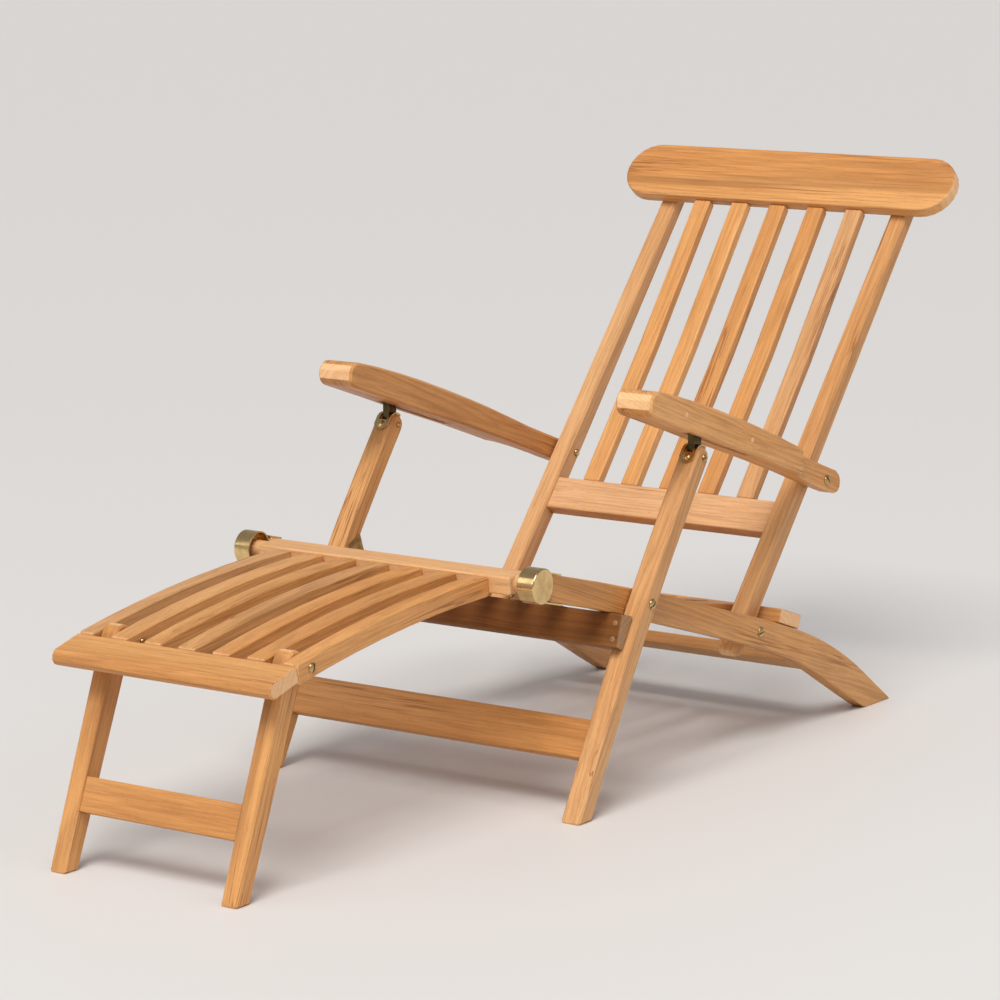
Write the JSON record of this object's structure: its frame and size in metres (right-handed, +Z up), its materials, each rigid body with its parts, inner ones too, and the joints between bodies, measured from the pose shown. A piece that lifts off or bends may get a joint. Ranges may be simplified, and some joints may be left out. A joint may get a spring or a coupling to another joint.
{
  "type": "folding deck chair",
  "caption": "Folding teak deck chair with a slatted curved seat, reclining slatted back with rounded headboard, arms on brass hooks, and a hinged slatted footrest.",
  "frame": {"origin": "middle of the chair's footprint box, on the floor", "axes": "+X to the sitter's left side, +Y from the footrest towards the back, +Z up"},
  "size_m": [0.629, 1.7437, 0.8851],
  "materials": {
    "brass_bolt": "lightly aged satin brass",
    "brass_cup": "lightly aged satin brass",
    "brass_hook": "lightly aged satin brass",
    "brass_plate": "lightly aged satin brass",
    "brass_rack": "lightly aged satin brass",
    "brass_saddle": "lightly aged satin brass",
    "teak_arm": "oiled teak, satin",
    "teak_back_bar": "oiled teak, satin",
    "teak_back_slat": "oiled teak, satin",
    "teak_board": "oiled teak, satin",
    "teak_foot_bar": "oiled teak, satin",
    "teak_foot_leg": "oiled teak, satin",
    "teak_foot_rail": "oiled teak, satin",
    "teak_foot_slat": "oiled teak, satin",
    "teak_headboard": "oiled teak, satin",
    "teak_leg": "oiled teak, satin",
    "teak_seat_bar": "oiled teak, satin",
    "teak_seat_rail": "oiled teak, satin",
    "teak_seat_slat": "oiled teak, satin",
    "teak_stile": "oiled teak, satin",
    "teak_stretcher": "oiled teak, satin"
  },
  "bodies": {
    "seat": {"back_pivot_bolt_left": "brass_bolt", "back_pivot_bolt_right": "brass_bolt", "hinge_cup_left": "brass_cup", "hinge_cup_right": "brass_cup", "leg_pivot_bolt_left": "brass_bolt", "leg_pivot_bolt_right": "brass_bolt", "rear_stretcher": "teak_stretcher", "seat_front_bar": "teak_seat_bar", "seat_rail_left": "teak_seat_rail", "seat_rail_right": "teak_seat_rail", "seat_rear_bar": "teak_seat_bar", "seat_slat_1": "teak_seat_slat", "seat_slat_2": "teak_seat_slat", "seat_slat_3": "teak_seat_slat", "seat_slat_4": "teak_seat_slat", "seat_slat_5": "teak_seat_slat", "seat_slat_6": "teak_seat_slat", "seat_slat_7": "teak_seat_slat", "wear_plate_left": "brass_plate", "wear_plate_right": "brass_plate"},
    "front_legs": {"front_leg_left": "teak_leg", "front_leg_right": "teak_leg", "front_stretcher": "teak_stretcher", "hook_pin_left": "brass_bolt", "hook_pin_right": "brass_bolt", "saddle_left": "brass_saddle", "saddle_right": "brass_saddle", "upper_cross_board": "teak_board"},
    "hook_left": {"latch_hook_left": "brass_hook"},
    "arm_left": {"arm_left": "teak_arm", "arm_rack_left": "brass_rack"},
    "hook_right": {"latch_hook_right": "brass_hook"},
    "arm_right": {"arm_right": "teak_arm", "arm_rack_right": "brass_rack"},
    "backrest": {"arm_pivot_bolt_left": "brass_bolt", "arm_pivot_bolt_right": "brass_bolt", "back_lower_bar": "teak_back_bar", "back_slat_1": "teak_back_slat", "back_slat_2": "teak_back_slat", "back_slat_3": "teak_back_slat", "back_slat_4": "teak_back_slat", "back_slat_5": "teak_back_slat", "back_stile_left": "teak_stile", "back_stile_right": "teak_stile", "headboard": "teak_headboard"},
    "footrest_legs": {"footrest_leg_left": "teak_foot_leg", "footrest_leg_right": "teak_foot_leg", "footrest_leg_stretcher": "teak_stretcher"},
    "footrest": {"footrest_front_bar": "teak_foot_bar", "footrest_leg_bolt_left": "brass_bolt", "footrest_leg_bolt_right": "brass_bolt", "footrest_rail_left": "teak_foot_rail", "footrest_rail_right": "teak_foot_rail", "footrest_rear_bar": "teak_foot_bar", "footrest_slat_1": "teak_foot_slat", "footrest_slat_2": "teak_foot_slat", "footrest_slat_3": "teak_foot_slat", "footrest_slat_4": "teak_foot_slat", "footrest_slat_5": "teak_foot_slat"}
  },
  "joints": [
    {"name": "front_legs_fold", "type": "hinge", "parent": "seat", "child": "front_legs", "pos_m": [0, -0.0608, 0.294], "axis": [1, 0, 0], "range_deg": [0, 90]},
    {"name": "back_fold", "type": "hinge", "parent": "seat", "child": "backrest", "pos_m": [0, 0.3102, 0.1845], "axis": [1, 0, 0], "range_deg": [0, 93]},
    {"name": "arm_left_turn", "type": "hinge", "parent": "backrest", "child": "arm_left", "pos_m": [0, 0.4992, 0.3995], "axis": [1, 0, 0], "range_deg": [-99.5, 0]},
    {"name": "arm_right_turn", "type": "hinge", "parent": "backrest", "child": "arm_right", "pos_m": [0, 0.4992, 0.3995], "axis": [1, 0, 0], "range_deg": [-99.5, 0]},
    {"name": "hook_left_turn", "type": "hinge", "parent": "front_legs", "child": "hook_left", "pos_m": [0, 0.0792, 0.493], "axis": [1, 0, 0], "range_deg": [-97, 0]},
    {"name": "hook_right_turn", "type": "hinge", "parent": "front_legs", "child": "hook_right", "pos_m": [0, 0.0792, 0.493], "axis": [1, 0, 0], "range_deg": [-97, 0]},
    {"name": "footrest_swing", "type": "hinge", "parent": "seat", "child": "footrest", "pos_m": [0, -0.3038, 0.356], "axis": [1, 0, 0], "range_deg": [-40, 56]},
    {"name": "footrest_legs_fold", "type": "hinge", "parent": "footrest", "child": "footrest_legs", "pos_m": [0, -0.7388, 0.307], "axis": [1, 0, 0], "range_deg": [0, 110]}
  ],
  "couplings": [
    {"joint": "back_fold", "follows": "front_legs_fold", "ratio": 1.03},
    {"joint": "arm_left_turn", "follows": "front_legs_fold", "ratio": -1.1},
    {"joint": "arm_right_turn", "follows": "front_legs_fold", "ratio": -1.1},
    {"joint": "hook_left_turn", "follows": "front_legs_fold", "ratio": -1.07},
    {"joint": "hook_right_turn", "follows": "front_legs_fold", "ratio": -1.07}
  ]
}
